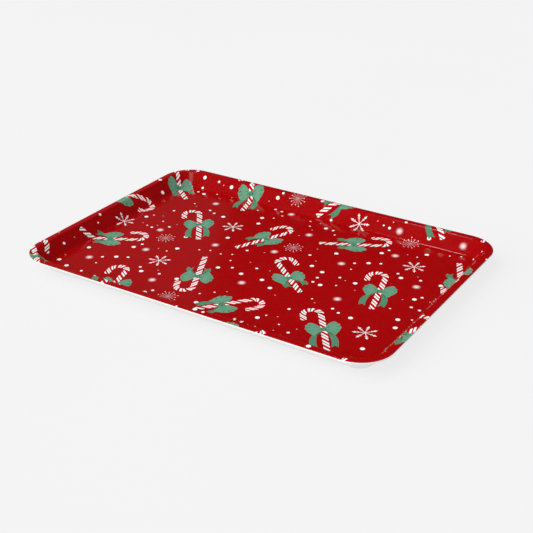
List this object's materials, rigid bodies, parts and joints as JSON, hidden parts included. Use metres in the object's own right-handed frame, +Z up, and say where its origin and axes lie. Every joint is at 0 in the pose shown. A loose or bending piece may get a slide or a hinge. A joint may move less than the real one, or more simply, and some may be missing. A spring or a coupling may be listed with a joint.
{
  "type": "serving tray",
  "caption": "Rectangular moulded melamine serving tray with rounded corners, sloping walls, a flat narrow rim and a printed, glazed upper face; stands on a low foot ring.",
  "frame": {"origin": "middle of the tray's footprint, on the plane that the foot ring stands on", "axes": "X along the tray's length, Y across its width, Z up out of the well"},
  "size_m": [0.444, 0.31, 0.02],
  "materials": {
    "white_melamine": "white moulded melamine, semi-gloss",
    "printed_decor": null,
    "clear_glaze": "clear cured resin, high gloss"
  },
  "bodies": {
    "root": {"tray_shell": "white_melamine", "decor_sheet": "printed_decor", "clear_glaze": "clear_glaze"}
  },
  "joints": []
}
